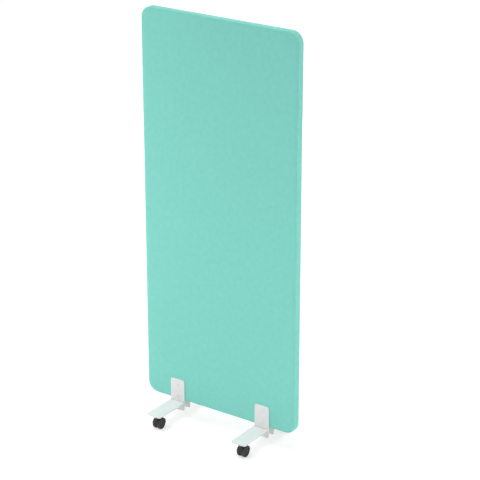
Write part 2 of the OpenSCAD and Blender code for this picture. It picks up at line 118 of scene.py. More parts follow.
class FootSettings(bpy.types.PropertyGroup):
    """Sizes and colours of the steel feet and their screws"""

    upright_thickness: length("Upright", "Thickness of the upright plate", 0.005)
    upright_radius: length("Upright corners", "Corner radius of the upright", 0.009)
    leg_thickness: length("Leg", "Thickness of the leg plate", 0.006)
    leg_top: length("Leg top", "Height of the top of the leg", 0.078)
    leg_radius: length("Leg corners", "Radius of the leg's outer corners", 0.009)
    eased: length("Eased edge", "Rounding of the plates' edges", 0.0007)
    weld: length("Weld", "Size of the weld beads", 0.004)
    weld_inset: length("Weld inset", "Where a weld stops short of the side", 0.003)
    ripple: length("Ripple", "Distance between two ripples of a weld bead", 0.0023)
    boss_radius: length("Boss radius", "Radius of the welded boss", 0.009)
    boss_bore: length("Boss bore", "Radius of the boss's bore", 0.0051)
    boss_bottom: length("Boss bottom", "Height of the underside of the boss", 0.063)
    stem_inset: length("Stem inset", "From the leg's end to the stem", 0.024)
    head_radius: length("Head radius", "Radius of the flat screw heads", 0.0065)
    head_height: length("Head height", "Height of the flat screw heads", 0.002)
    socket: length("Socket", "Key socket of the heads, across its flats", 0.004)
    socket_depth: length("Socket depth", "Depth of the key socket", 0.0014)
    shank_radius: length("Shank radius", "Radius of the screws' shanks", 0.003)
    barrel_radius: length("Barrel radius", "Radius of the sleeve nuts' barrels", 0.004)
    thread_depth: length("Thread depth", "Depth of the sleeve nuts' threads", 0.026)
    thread_play: length("Thread play", "Play between shank and sleeve nut", 0.00005)
    screw_high: length("Upper screw", "Height of the upper screw", 0.158)
    screw_low: length("Lower screw", "Height of the lower screw", 0.104)
    coat: colour("Coat", "Powder coat of the feet", (0.736, 0.738, 0.736))
    # Darker coat on the beads between upright and leg: painted shade standing in for the shadow
    # in that corner, not a coat of another colour
    weld_painted_shade: colour("Weld painted shade", "Powder coat over the rough weld beads", (0.56, 0.57, 0.57))


class CastorSettings(bpy.types.PropertyGroup):
    """Sizes and colours of the castors"""

    wheel_radius: length("Wheel radius", "Radius over the tread", 0.025)
    wheel_width: length("Wheel width", "Width of one wheel", 0.012)
    wheel_gap: length("Wheel gap", "Gap between the two wheels", 0.012)
    tread: length("Tread", "Thickness of the soft tread", 0.003)
    hood_play: length("Hood play", "Play between tread and hood", 0.0015)
    hood_wall: length("Hood wall", "Wall of the hood", 0.002)
    hood_reveal: length("Hood reveal", "How far the wheels look out of the hood", 0.001)
    hood_front: angle("Hood front", "Front end of the hood, from the level to the rear", 166)
    hood_rear: angle("Hood rear", "Rear end of the hood, from the level to the rear", -8)
    web: length("Web", "Thickness of the web between the wheels", 0.008)
    web_arm: length("Web arm", "Height of the web's arm to the rear", 0.008)
    web_rise: length("Web rise", "From the floor to the web between the wheels", 0.0025)
    knuckle_radius: length("Knuckle radius", "Radius of the web about the axle", 0.0078)
    side_play: length("Side play", "Play beside a wheel's hub", 0.0005)
    axle_bore: length("Axle bore", "Radius of the bores on the axle", 0.0031)
    trail: length("Trail", "From the stem to the axle", 0.018)
    collar_radius: length("Collar radius", "Radius of the stem collar", 0.009)
    collar_top: length("Collar top", "Height of the top of the collar", 0.0585)
    collar_height: length("Collar height", "Length of the collar", 0.016)
    journal_radius: length("Journal radius", "Radius of the stem in the housing", 0.0035)
    journal_play: length("Journal play", "Play between stem and housing", 0.00005)
    ring_play: length("Ring play", "Play between snap ring and housing", 0.00015)
    end_play: length("End play", "Play under the tip of the stem", 0.0005)
    socket_wall: length("Socket wall", "Wall and floor of the stem's socket", 0.002)
    nylon: colour("Nylon", "Moulded nylon", (0.014, 0.014, 0.016))
    rubber: colour("Tread colour", "Soft tread", (0.026, 0.026, 0.028))


class StageSettings(bpy.types.PropertyGroup):
    """Light, floor and camera"""

    floor_size: length("Floor", "Side of the floor", 60.0)
    sky: number("Sky", "Even light from all round", 0.2)
    overhead: number("Overhead", "Strength of the soft light from above", 2.05)
    softboxes: number("Softboxes", "Strength of all the softboxes", 1.0)
    yaw: angle("Yaw", "Turn of the camera to the left of +Y", 34.99)
    pitch: angle("Pitch", "How far the camera looks down", 21.51)
    lens: number("Lens", "Focal length in millimetres", 135.6)
    place: FloatVectorProperty(
        name="Camera place",
        description="Where the camera stands",
        default=(4.220, -5.888, 3.760),
        subtype="XYZ",
        unit="LENGTH",
    )


# Node helpers


def bare_tree(owner):
    """Turns the owner's nodes on and empties their tree."""
    owner.use_nodes = True
    owner.node_tree.nodes.clear()
    return owner.node_tree


def fill(node, sockets):
    """Sets or links the sockets of a node."""
    for key, value in sockets.items():
        if isinstance(value, bpy.types.NodeSocket):
            node.id_data.links.new(value, node.inputs[key])
        else:
            node.inputs[key].default_value = value


def put(tree, kind, sockets, **options):
    """Adds a node, sets its options and fills its sockets."""
    made = tree.nodes.new(kind)
    for key, value in options.items():
        setattr(made, key, value)
    fill(made, sockets)
    return made


def plain_material(name, base, roughness):
    """A material with one Principled shader; returns it with its tree and shader."""
    material = bpy.data.materials.new(name)
    material.diffuse_color = (*base, 1.0)
    tree = bare_tree(material)
    look = {"Base Color": (*base, 1.0), "Roughness": roughness}
    shader = put(tree, "ShaderNodeBsdfPrincipled", look)
    put(tree, "ShaderNodeOutputMaterial", {"Surface": shader.outputs["BSDF"]})
    return material, tree, shader


def sums(operation, a, b):
    """Math node of a socket and a second value."""
    return put(a.id_data, "ShaderNodeMath", {0: a, 1: b}, operation=operation).outputs[0]


def layered(a, part_a, b, part_b):
    """Sum of two sockets, each times its part."""
    return sums("ADD", sums("MULTIPLY", a, part_a), sums("MULTIPLY", b, part_b))


def spread(value, low, high, to_low, to_high):
    """Maps a socket's value from one range to another."""
    ends = {"From Min": low, "From Max": high, "To Min": to_low, "To Max": to_high}
    made = put(value.id_data, "ShaderNodeMapRange", {"Value": value, **ends})
    return made.outputs["Result"]


def speckle(where, scale, detail=2.0, roughness=0.5):
    """Noise texture; returns its value."""
    look = {"Vector": where, "Scale": scale, "Detail": detail, "Roughness": roughness}
    return put(where.id_data, "ShaderNodeTexNoise", look).outputs["Fac"]


def blend_colours(share, a, b):
    """Mixes two colours by a socket's value."""
    colours = {0: share, 6: (*a, 1.0), 7: (*b, 1.0)}
    return put(share.id_data, "ShaderNodeMix", colours, data_type="RGBA").outputs[2]


def surface(shader, colour, roughness, height, strength, distance):
    """Gives a shader its colour, its roughness and the relief of a height."""
    lift = {"Height": height, "Strength": strength, "Distance": distance}
    bump = put(shader.id_data, "ShaderNodeBump", lift).outputs["Normal"]
    fill(shader, {"Base Color": colour, "Roughness": roughness, "Normal": bump})


def object_place(tree, stretch=None):
    """Place on the object, stretched along its axes if that is given."""
    where = tree.nodes.new("ShaderNodeTexCoord").outputs["Object"]
    if stretch is None:
        return where
    return put(tree, "ShaderNodeMapping", {"Vector": where, "Scale": stretch}).outputs[0]


# Materials


def wool(name, settings):
    """Melange wool cloth: crossed threads and loose fibres along the unrolled cloth."""
    light = tuple(settings.wool_light)
    dark = tuple(settings.wool_dark)
    middle = [(a + b) / 2 for a, b in zip(light, dark)]
    material, tree, shader = plain_material(name, middle, 0.92)
    cloth = put(tree, "ShaderNodeUVMap", {}, uv_map="Unrolled").outputs["UV"]
    bands = {
        "Vector": cloth,
        "Scale": 0.1 * math.pi / settings.thread,
        "Distortion": 1.6,
        "Detail": 2.0,
        "Detail Scale": 0.6,
    }
    threads = []
    for axis in ("X", "Y"):
        wave = put(tree, "ShaderNodeTexWave", bands, bands_direction=axis).outputs["Fac"]
        threads.append(spread(wave, 0, 1, -1, 1))
    weave = sums("MULTIPLY", *threads)
    fibres = speckle(cloth, 1500.0, 3.0, 0.65)
    flecks = spread(speckle(cloth, 420.0, 2.0, 0.6), 0.3, 0.7, 0.22, 0.78)
    clouds = spread(speckle(cloth, 42.0, 3.0, 0.55), 0.3, 0.7, -0.10, 0.10)
    share = sums("ADD", flecks, clouds)
    share = sums("ADD", share, sums("MULTIPLY", weave, 0.14))
    fill(
        shader,
        {
            "Sheen Weight": 0.2,
            "Sheen Roughness": 0.5,
            "Sheen Tint": (0.8, 1.0, 0.96, 1.0),
            "Specular IOR Level": 0.2,
        },
    )
    colour = blend_colours(share, dark, light)
    roughness = spread(fibres, 0.3, 0.7, 0.86, 0.97)
    height = sums("ADD", weave, sums("MULTIPLY", fibres, 1.4))
    surface(shader, colour, roughness, height, 0.55, 0.00018)
    return material


def powder_coat(name, base):
    """White fine-texture powder coat with a faint orange peel."""
    material, tree, shader = plain_material(name, base, 0.42)
    where = object_place(tree)
    grain = speckle(where, 2600.0, 2.0, 0.6)
    peel = speckle(where, 520.0, 2.0, 0.5)
    handling = speckle(where, 28.0, 4.0, 0.6)
    dull = tuple(0.965 * c for c in base)
    colour = blend_colours(spread(handling, 0.35, 0.7, 0, 1), base, dull)
    roughness = spread(handling, 0.3, 0.7, 0.38, 0.5)
    height = sums("ADD", peel, sums("MULTIPLY", grain, 0.4))
    surface(shader, colour, roughness, height, 0.25, 0.0001)
    return material


def zinc(name):
    """Zinc-plated turned steel with fine turning lines."""
    material, tree, shader = plain_material(name, (0.6, 0.61, 0.63), 0.34)
    fill(shader, {"Metallic": 1.0})
    where = object_place(tree)
    bands = {"Vector": where, "Scale": 420.0, "Distortion": 0.8, "Detail": 2.0}
    lines = put(tree, "ShaderNodeTexWave", bands, bands_direction="Z").outputs["Fac"]
    cloud = speckle(where, 300.0, 3.0)
    colour = blend_colours(cloud, (0.52, 0.53, 0.56), (0.67, 0.68, 0.69))
    roughness = spread(cloud, 0.3, 0.7, 0.26, 0.44)
    surface(shader, colour, roughness, lines, 0.2, 0.00004)
    return material


def moulded(name, base, roughness, strength, wear):
    """Moulded plastic or rubber with spark-eroded texture, paler where it is rubbed."""
    material, tree, shader = plain_material(name, base, roughness)
    where = object_place(tree)
    texture = speckle(where, 3200.0, 2.0, 0.6)
    rubbed = speckle(where, 120.0, 4.0, 0.6)
    pale = tuple(min(1.0, c * wear + 0.004) for c in base)
    colour = blend_colours(spread(rubbed, 0.45, 0.75, 0, 1), base, pale)
    uneven = spread(rubbed, 0.3, 0.7, roughness - 0.06, roughness + 0.08)
    surface(shader, colour, uneven, texture, strength, 0.00005)
    return material


def softwood(name, early, late, stretch):
    """Planed timber with growth rings along the given stretch."""
    material, tree, shader = plain_material(name, early, 0.6)
    where = object_place(tree, stretch)
    bands = {"Vector": where, "Scale": 14.0, "Distortion": 4.0, "Detail": 3.0}
    rings = put(tree, "ShaderNodeTexWave", bands, wave_type="RINGS").outputs["Fac"]
    pores = speckle(where, 260.0, 3.0)
    share = layered(rings, 0.7, pores, 0.3)
    colour = blend_colours(share, early, late)
    surface(shader, colour, spread(pores, 0.3, 0.7, 0.5, 0.72), share, 0.3, 0.0002)
    return material


def birch_ply(name):
    """Plywood with its thin veneers lying across the thickness of the panel."""
    roughness = 0.65
    material, tree, shader = plain_material(name, (0.62, 0.42, 0.22), roughness)
    bands = {"Vector": object_place(tree), "Scale": 120.0, "Distortion": 0.3}
    veneers = put(tree, "ShaderNodeTexWave", bands, bands_direction="Y").outputs["Fac"]
    grain = speckle(object_place(tree, (1.0, 1.0, 12.0)), 140.0, 4.0)
    share = layered(veneers, 0.55, grain, 0.45)
    colour = blend_colours(share, (0.68, 0.48, 0.27), (0.42, 0.25, 0.12))
    surface(shader, colour, roughness, grain, 0.3, 0.0002)
    return material


def felted(name, base, fleck, scale):
    """Pressed fibres, for the wadding and the absorber slabs."""
    roughness = 0.95
    material, tree, shader = plain_material(name, base, roughness)
    strands = speckle(object_place(tree, (1.0, 6.0, 1.4)), scale, 5.0, 0.65)
    colour = blend_colours(spread(strands, 0.3, 0.7, 0, 1), fleck, base)
    surface(shader, colour, roughness, strands, 0.7, 0.001)
    return material


# Mesh helpers


def tidy_shell(bm):
    """Merges doubles, drops what has no area and points the faces outwards."""
    bmesh.ops.remove_doubles(bm, verts=bm.verts, dist=1e-6)
    bmesh.ops.dissolve_degenerate(bm, edges=bm.edges, dist=1e-7)
    bmesh.ops.recalc_face_normals(bm, faces=bm.faces)


def ease(bm, offset, segments=2, angle=50.0, edges=None):
    """Rounds the edges sharper than the angle, or the given ones, and tidies the shell."""
    if edges is None:
        limit = math.radians(angle)
        edges = [e for e in bm.edges if len(e.link_faces) == 2 and e.calc_face_angle() > limit]
    bmesh.ops.bevel(
        bm,
        geom=edges,
        offset=offset,
        segments=segments,
        profile=0.5,
        affect="EDGES",
        material=-1,
        clamp_overlap=True,
    )
    tidy_shell(bm)


def turned(profile, middle, axis, steps=48, closed=True):
    """Round part, from a profile of (radius, height) points about an axis."""
    part = bmesh.new()
    axis = Vector(axis).normalized()
    out = axis.orthogonal().normalized()
    middle = Vector(middle)
    verts = [part.verts.new(middle + out * r + axis * h) for r, h in profile]
    ends = verts[1:] + verts[:1] if closed else verts[1:]
    edges = [part.edges.new(pair) for pair in zip(verts, ends)]
    bmesh.ops.spin(
        part,
        geom=verts + edges,
        cent=middle,
        axis=axis,
        angle=2 * math.pi,
        steps=steps,
        use_merge=True,
    )
    tidy_shell(part)
    return part


def centre(node):
    """Middle of a CAD node's box."""
    low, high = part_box(node)
    return (low + high) / 2


def only(kind, geometry):
    """Those of one kind among what a mesh operator gives back."""
    return [g for g in geometry if isinstance(g, kind)]


def placed(name, data):
    """New object in the scene."""
    made = bpy.data.objects.new(name, data)
    bpy.context.scene.collection.objects.link(made)
    return made


def meshed(name, bm):
    """New mesh of a bmesh."""
    mesh = bpy.data.meshes.new(name)
    bm.to_mesh(mesh)
    return mesh


def absorb(bm, part):
    """Adds a finished part to a piece."""
    mesh = meshed("part", part)
    part.free()
    bm.from_mesh(mesh)
    bpy.data.meshes.remove(mesh)


def bored(part, cutter):
    """Takes the cutter's shape out of the part."""
    benches = [placed("bench", meshed("bench", source)) for source in (part, cutter)]
    cut = benches[0].modifiers.new("bore", "BOOLEAN")
    cut.operation = "DIFFERENCE"
    cut.solver = "EXACT"
    cut.object = benches[1]
    shaped = benches[0].evaluated_get(bpy.context.evaluated_depsgraph_get())
    part.clear()
    part.from_mesh(shaped.data)
    for bench in benches:
        mesh = bench.data
        bpy.data.objects.remove(bench)
        bpy.data.meshes.remove(mesh)


def half_turn(bm):
    """Turns a piece that is drawn for the front by half a turn, to stand at the rear."""
    bmesh.ops.rotate(bm, cent=(0, 0, 0), matrix=Matrix.Rotation(math.pi, 3, "Z"), verts=bm.verts)


def finish_piece(name, bm, materials, body, replaced, smooth=35.0):
    """Makes the object of a finished bmesh, rides it and hides the CAD parts it replaces."""
    mesh = meshed(name, bm)
    bm.free()
    for material in materials:
        mesh.materials.append(material)
    mesh.shade_smooth()
    mesh.set_sharp_from_angle(angle=math.radians(smooth))
    piece = placed(name, mesh)
    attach(piece, body)
    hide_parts(*replaced)
    return piece


def made_once(make, name, *values):
    """The material of that name, made if it isn't there yet."""
    return bpy.data.materials.get(name) or make(name, *values)


# Upholstery


def lines_between(points, cell):
    """Places of the grid lines: each stretch between two points in about equal cells."""
    lines = [points[0]]
    for a, b in zip(points, points[1:]):
        count = max(1, round((b - a) / cell))
        lines += [a + (b - a) * (k + 1) / count for k in range(count)]
    return lines


def panel_sizes(settings):
    """Half width and half height of the flat field inside the rounded corners, half the
    panel's thickness, and the height of its middle."""
    half_w = (PANEL_HIGH.x - PANEL_LOW.x) / 2 - settings.corner_radius
    half_h = (PANEL_HIGH.z - PANEL_LOW.z) / 2 - settings.corner_radius
    thick = (PANEL_HIGH.y - PANEL_LOW.y) / 2
    return half_w, half_h, thick, (PANEL_HIGH.z + PANEL_LOW.z) / 2


def outline_frame(co, half_w, half_h):
    """Nearest point of the flat field, and the way out from it to co."""
    core = Vector((min(max(co.x, -half_w), half_w), min(max(co.z, -half_h), half_h)))
    out = Vector((co.x, co.z)) - core
    return core, out.normalized()


def next_ring(bm, rim):
    """Draws an open rim out by a ring of faces; returns the new rim and its vertices."""
    grown = bmesh.ops.extrude_edge_only(bm, edges=rim)["geom"]
    rim = [e for e in only(bmesh.types.BMEdge, grown) if e.is_boundary]
    return rim, only(bmesh.types.BMVert, grown)


def cover_skin(settings, side):
    """Outer skin of one cover, and which of its vertices the frame and the feet hold."""
    half_w, half_h, thick, mid_z = panel_sizes(settings)
    face_r = settings.corner_radius - settings.edge_radius
    strip = 6
    foot_low, foot_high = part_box("front_right_foot")
    margin = 0.005
    beside_foot = [foot_low.x - margin, foot_low.x, foot_high.x, foot_high.x + margin]
    stops_x = [-x for x in reversed(beside_foot)] + beside_foot
    stops_z = [foot_high.z - mid_z, foot_high.z + margin - mid_z]
    xs = lines_between([-half_w] + stops_x + [half_w], settings.cell)
    zs = lines_between([-half_h] + stops_z + [half_h], settings.cell)
    bm = bmesh.new()
    count_x = len(xs) - 1 + 2 * strip
    count_z = len(zs) - 1 + 2 * strip
    bmesh.ops.create_grid(bm, x_segments=count_x, y_segments=count_z, size=0.5)
    unrolled = bm.verts.layers.float_vector.new("unrolled")

    def across(index, lines):
        """Place along one side: in the field, or how far out in the strip beside it."""
        if index < strip:
            return lines[0], -(strip - index) / strip
        if index > strip + len(lines) - 1:
            return lines[-1], (index - strip - len(lines) + 1) / strip
        return lines[index - strip], 0.0

    for v in bm.verts:
        x, a = across(round((v.co.x + 0.5) * count_x), xs)
        z, b = across(round((v.co.y + 0.5) * count_z), zs)
        if a and b:
            reach = max(abs(a), abs(b))
            turn = math.pi / 4 * min(abs(a), abs(b)) / reach
            if abs(b) > abs(a):
                turn = math.pi / 2 - turn
            a = math.copysign(reach * math.cos(turn), a)
            b = math.copysign(reach * math.sin(turn), b)
        place = Vector((x + a * face_r, z + b * face_r))
        v.co = (place.x, side * thick, place.y)
        v[unrolled] = (place.x, place.y, 0.0)
    face = list(bm.faces)
    rim = [e for e in bm.edges if e.is_boundary]
    held = [v for e in rim for v in e.verts]
    bend = settings.edge_radius
    profile = []
    for degrees in (18, 36, 54, 72, 90):
        turn = math.radians(degrees)
        reach = face_r + bend * math.sin(turn)
        profile.append((reach, thick - bend * (1 - math.cos(turn)), bend * turn))
    round_edge = bend * math.pi / 2
    flat = thick - bend
    for depth in (0.62 * flat, 0.28 * flat, 0.13 * flat):
        profile.append((face_r + bend, depth, round_edge + flat - depth))
    for inward, depth in ((0.00015, 0.0009), (0.0006, 0.0003), (0.0013, 0.00008)):
        profile.append((face_r + bend - inward, depth, round_edge + flat + inward))
    for reach, depth, arc in profile:
        rim, ring = next_ring(bm, rim)
        for v in ring:
            core, out = outline_frame(v.co, half_w, half_h)
            spot = core + out * reach
            v.co = (spot.x, side * depth, spot.y)
            away = core + out * (face_r + arc)
            v[unrolled] = (away.x, away.y, 0.0)
        held += ring
    slack = 0.0002
    for v in bm.verts:
        beside = foot_low.x - slack <= abs(v.co.x) <= foot_high.x + slack
        if beside and v.co.z <= foot_high.z - mid_z + slack:
            held.append(v)
    for v in bm.verts:
        v.co.z += mid_z
    uv = bm.loops.layers.uv.new("Unrolled")
    for f in bm.faces:
        for corner in f.loops:
            corner[uv].uv = corner.vert[unrolled].xy
    bm.verts.index_update()
    return bm, face, sorted({v.index for v in held})


def swell(mesh, held, steps):
    """Runs the skin as a cloth over sprung wadding and returns where its points went."""
    scene = bpy.context.scene
    skin = placed("skin_on_the_bench", mesh)
    skin.vertex_groups.new(name="held").add(held, 1.0, "REPLACE")
    cloth = skin.modifiers.new("cloth", "CLOTH")
    fabric = cloth.settings
    fabric.quality = 5
    fabric.mass = 0.35
    fabric.tension_stiffness = 20
    fabric.compression_stiffness = 20
    fabric.shear_stiffness = 8
    fabric.bending_stiffness = 3
    fabric.vertex_group_mass = "held"
    fabric.use_pressure = True
    fabric.uniform_pressure_force = 3.0
    fabric.effector_weights.gravity = 0.0
    cloth.collision_settings.use_collision = False
    cloth.point_cache.frame_start = 1
    cloth.point_cache.frame_end = steps
    for step in range(1, steps + 1):
        scene.frame_set(step)
    shaped = skin.evaluated_get(bpy.context.evaluated_depsgraph_get())
    went = [v.co.copy() for v in shaped.data.vertices]
    scene.frame_set(1)
    bpy.data.objects.remove(skin)
    return went


def upholster(settings, name, side, replaced, material):
    """One padded cover, from the swollen face round to the seam and in to the frame."""
    bm, face, held = cover_skin(settings, side)
    bench = meshed("bench", bm)
    went = swell(bench, held, settings.steps)
    if len(went) != len(bm.verts):
        raise RuntimeError("the cloth run changed the number of points")
    bm.verts.ensure_lookup_table()
    for v, goal in zip(bm.verts, went):
        rise = max(0.0, side * (goal.y - v.co.y))
        v.co.y += side * settings.crown * math.tanh(rise / settings.crown)
    bpy.data.meshes.remove(bench)
    half_w, half_h, thick, mid_z = panel_sizes(settings)
    locked = set(held)
    for v in bm.verts:
        if v.index not in locked:
            wave = noise.noise(Vector((v.co.x * 7, side * 3.7, v.co.z * 5)))
            wave += 0.5 * noise.noise(Vector((v.co.x * 19, side * 8.1, v.co.z * 17)))
            near = min(1.0, abs(abs(v.co.y) - thick) / settings.crown)
            v.co.y += side * settings.unevenness * wave * near

    def send(v, reach, depth):
        """Moves a vertex to a distance from the flat field and from the panel's middle."""
        core, out = outline_frame(v.co - Vector((0, 0, mid_z)), half_w, half_h)
        spot = core + out * reach
        v.co = (spot.x, side * depth, spot.y + mid_z)

    inner = settings.corner_radius - settings.skin
    flat = thick - settings.skin
    rim = [e for e in bm.edges if e.is_boundary]
    for reach, depth in ((inner + 0.0004, 0.00004), (inner, 0.0006), (inner, flat)):
        rim, ring = next_ring(bm, rim)
        for v in ring:
            send(v, reach, depth)
    lining = only(bmesh.types.BMVert, bmesh.ops.duplicate(bm, geom=face)["geom"])
    for v in lining:
        if v.is_boundary:
            send(v, inner, flat)
        else:
            v.co.y = side * flat
    meeting = {v for e in rim for v in e.verts} | {v for v in lining if v.is_boundary}
    bmesh.ops.remove_doubles(bm, verts=list(meeting), dist=1e-5)
    if any(not e.is_manifold for e in bm.edges):
        raise RuntimeError(f"{name} is not closed")
    bmesh.ops.recalc_face_normals(bm, faces=bm.faces)
    piece = finish_piece(name, bm, (material,), "screen", replaced, 60.0)
    smooth = piece.modifiers.new("smooth", "SUBSURF")
    smooth.levels = smooth.render_levels = 1
    return piece


class SCREEN_OT_upholster_panel(bpy.types.Operator):
    """Makes the front and the rear padded wool cover"""

    bl_idname = "screen.upholster_panel"
    bl_label = "Upholster the panel"

    def execute(self, context):
        settings = context.scene.divider_panel
        material = made_once(wool, "melange_wool", settings)
        for end, side in (("front", -1), ("rear", 1)):
            replaced = (f"{end}_cover", f"{end}_wadding")
            upholster(settings, f"{end}_upholstery", side, replaced, material)
        return {"FINISHED"}


# Feet


def plate(bm, settings, low, high, through, radius, rounded):
    """Steel plate with rounded corners and eased edges. through is the axis of its
    thickness, and rounded tells which of its corner edges are rounded."""
    part = bmesh.new()
    bmesh.ops.create_cube(part, size=1.0)
    bmesh.ops.scale(part, vec=high - low, verts=part.verts)
    bmesh.ops.translate(part, vec=(low + high) / 2, verts=part.verts)
    corners = [
        e
        for e in part.edges
        if abs((e.verts[0].co - e.verts[1].co).normalized()[through]) > 0.9
        and rounded((e.verts[0].co + e.verts[1].co) / 2)
    ]
    ease(part, radius, 8, edges=corners)
    ease(part, settings.eased, 3)
    absorb(bm, part)


def weld_bead(bm, settings, start, run, up):
    """Rippled bead along X, in the corner between the upright and a face of the leg."""
    part = bmesh.new()
    along = Vector((1, 0, 0))
    toward = Vector((0, -1, 0))
    size = settings.weld
    ripple = settings.ripple
    section = [start - toward * size * 0.3 - up * size * 0.3]
    for degrees in (-18, 8, 32, 58, 82, 108):
        turn = math.radians(degrees)
        section.append(start + (toward * math.cos(turn) + up * math.sin(turn)) * size * 0.84)
    grown = [part.faces.new([part.verts.new(p) for p in section])]
    steps = round(5 * run / ripple)
    sections = []
    fat = 1.0
    for k in range(1, steps + 1):
        grown = bmesh.ops.extrude_face_region(part, geom=grown)["geom"]
        verts = only(bmesh.types.BMVert, grown)
        grown = only(bmesh.types.BMFace, grown)
        sections += grown
        gone = run * k / steps
        wanted = 1.0 + 0.13 * abs(math.sin(math.pi * gone / ripple))
        wanted *= min(1.0, 0.6 + 120 * min(gone, run - gone))
        bmesh.ops.translate(part, vec=along * run / steps, verts=verts)
        core = Matrix.Translation(-(start + along * gone))
        bmesh.ops.scale(part, vec=(wanted / fat,) * 3, space=core, verts=verts)
        fat = wanted
    bmesh.ops.delete(part, geom=sections[:-1], context="FACES_ONLY")
    tidy_shell(part)
    # The beads take material 1, the darker coat: painted shade for the corner between upright
    # and leg
    for f in part.faces:
        f.material_index = 1
    absorb(bm, part)


def stem_boss(settings, y, top):
    """Boss under the leg that takes the castor's stem, with its weld."""
    middle = (0, y, 0)
    outer = settings.boss_radius
    bore = settings.boss_bore
    low = settings.boss_bottom
    profile = [(bore, low), (outer, low), (outer, top), (bore, top)]
    boss = turned(profile, middle, (0, 0, 1))
    ease(boss, settings.eased, 3)
    bead = settings.weld * 0.55
    overlap = 0.0003
    profile = [
        (outer - bead / 2, top + overlap),
        (outer + bead, top),
        (outer + bead * 0.75, top - bead * 0.55),
        (outer + bead * 0.3, top - bead * 0.9),
        (outer - overlap, top - bead),
    ]
    absorb(boss, turned(profile, middle, (0, 0, 1), 60))
    tidy_shell(boss)
    return boss


def foot_mesh(settings, node):
    """Upright, leg, weld beads and stem boss, in front of the panel about x 0."""
    low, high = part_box(node)
    half = (high.x - low.x) / 2
    back = min(abs(low.y), abs(high.y))
    end = max(abs(low.y), abs(high.y))
    face = back + settings.upright_thickness
    top = settings.leg_top
    under = top - settings.leg_thickness
    bm = bmesh.new()
    plate(
        bm,
        settings,
        Vector((-half, -face, low.z)),
        Vector((half, -back, high.z)),
        1,
        settings.upright_radius,
        lambda middle: True,
    )
    plate(
        bm,
        settings,
        Vector((-half, -end, under)),
        Vector((half, -face + 0.001, top)),
        2,
        settings.leg_radius,
        lambda middle: middle.y < -face - 0.01,
    )
    reach = half - settings.weld_inset
    for z, up in ((top, 1), (under, -1)):
        weld_bead(bm, settings, Vector((-reach, -face, z)), 2 * reach, Vector((0, 0, up)))
    absorb(bm, stem_boss(settings, settings.stem_inset - end, under))
    return bm


class SCREEN_OT_weld_feet(bpy.types.Operator):
    """Makes the four welded and powder-coated feet"""

    bl_idname = "screen.weld_feet"
    bl_label = "Weld the feet"

    def execute(self, context):
        settings = context.scene.divider_feet
        coat = made_once(powder_coat, "white_powder_coat", tuple(settings.coat))
        # Darker bead coat: painted shade in the corner between upright and leg
        bead = made_once(powder_coat, "coated_weld", tuple(settings.weld_painted_shade))
        for corner, _, depth in CORNERS:
            node = f"{corner}_foot"
            bm = foot_mesh(settings, node)
            if depth > 0:
                half_turn(bm)
            bmesh.ops.translate(bm, vec=(centre(node).x, 0, 0), verts=bm.verts)
            name = f"{corner}_welded_foot"
            finish_piece(name, bm, (coat, bead), "screen", (node,))
        return {"FINISHED"}


# Screws and sleeve nuts


def flat_headed(bm, settings, seat, outward, tail):
    """Flat head with a rounded rim and a hexagon socket, and its shank or barrel."""
    radius = settings.head_radius
    height = settings.head_height
    socket = settings.socket / 2
    floor = height - settings.socket_depth
    seat = Vector(seat)
    axis = Vector(outward)
    slack = 1e-6
    profile = [(0, floor), (socket, floor), (socket, height), (radius, height), (radius, 0)]
    part = turned(profile + tail, seat, outward, closed=False)
    for v in part.verts:
        rise = (v.co - seat).dot(axis)
        away = v.co - seat - axis * rise
        if rise > floor - slack and slack < away.length < socket * 1.01:
            turn = (math.atan2(away.z, away.x) + math.pi / 6) % (math.pi / 3) - math.pi / 6
            v.co = seat + axis * rise + away / math.cos(turn)
    tidy_shell(part)
    top = seat + axis * height

    def ring(low, high):
        """Edges on the top of the head that lie between two distances from its middle."""
        chosen = set()
        for v in part.verts:
            away = v.co - top
            if abs(away.dot(axis)) < slack and low < away.length < high:
                chosen.add(v)
        return [e for e in part.edges if chosen.issuperset(e.verts)]

    ease(part, 0.0006, 4, edges=ring(radius * 0.95, radius * 1.05))
    ease(part, 0.0002, 2, edges=ring(0, socket * 1.25))
    absorb(bm, part)


class SCREEN_OT_fit_screws(bpy.types.Operator):
    """Makes the foot screws in front and the sleeve nuts behind"""

    bl_idname = "screen.fit_screws"
    bl_label = "Fit the foot screws"

    def execute(self, context):
        settings = context.scene.divider_feet
        coat = made_once(powder_coat, "white_powder_coat", tuple(settings.coat))
        screw_low, screw_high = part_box("foot_screws")
        sleeve_low, sleeve_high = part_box("sleeve_nuts")
        places = []
        for node in ("front_left_foot", "front_right_foot"):
            x = centre(node).x
            places += [(x, settings.screw_low), (x, settings.screw_high)]

        shank = settings.shank_radius
        screw_seat = screw_low.y + settings.head_height
        tip = screw_seat - screw_high.y
        screw_tail = [(shank, 0), (shank, tip), (0, tip)]
        barrel = settings.barrel_radius
        bore = shank + settings.thread_play
        sleeve_seat = sleeve_high.y - settings.head_height
        tip = sleeve_low.y - sleeve_seat
        end = tip + settings.thread_depth
        sleeve_tail = [(barrel, 0), (barrel, tip), (bore, tip), (bore, end), (0, end)]
        for name, node, out, seat, tail in (
            ("foot_screw_set", "foot_screws", -1, screw_seat, screw_tail),
            ("sleeve_nut_set", "sleeve_nuts", 1, sleeve_seat, sleeve_tail),
        ):
            bm = bmesh.new()
            for x, z in places:
                flat_headed(bm, settings, (x, seat, z), (0, out, 0), tail)
            finish_piece(name, bm, (coat,), "screen", (node,), 30.0)
        return {"FINISHED"}


# Castors


def rod(middle, axis, radius, low, high):
    """Round bar along an axis, to bore with."""
    profile = [(0, low), (radius, low), (radius, high), (0, high)]
    return turned(profile, middle, axis, closed=False)


def hood_radii(settings):
    """Inner and outer radius of the hood about the axle."""
    inner = settings.wheel_radius + settings.hood_play
    return inner, inner + settings.hood_wall


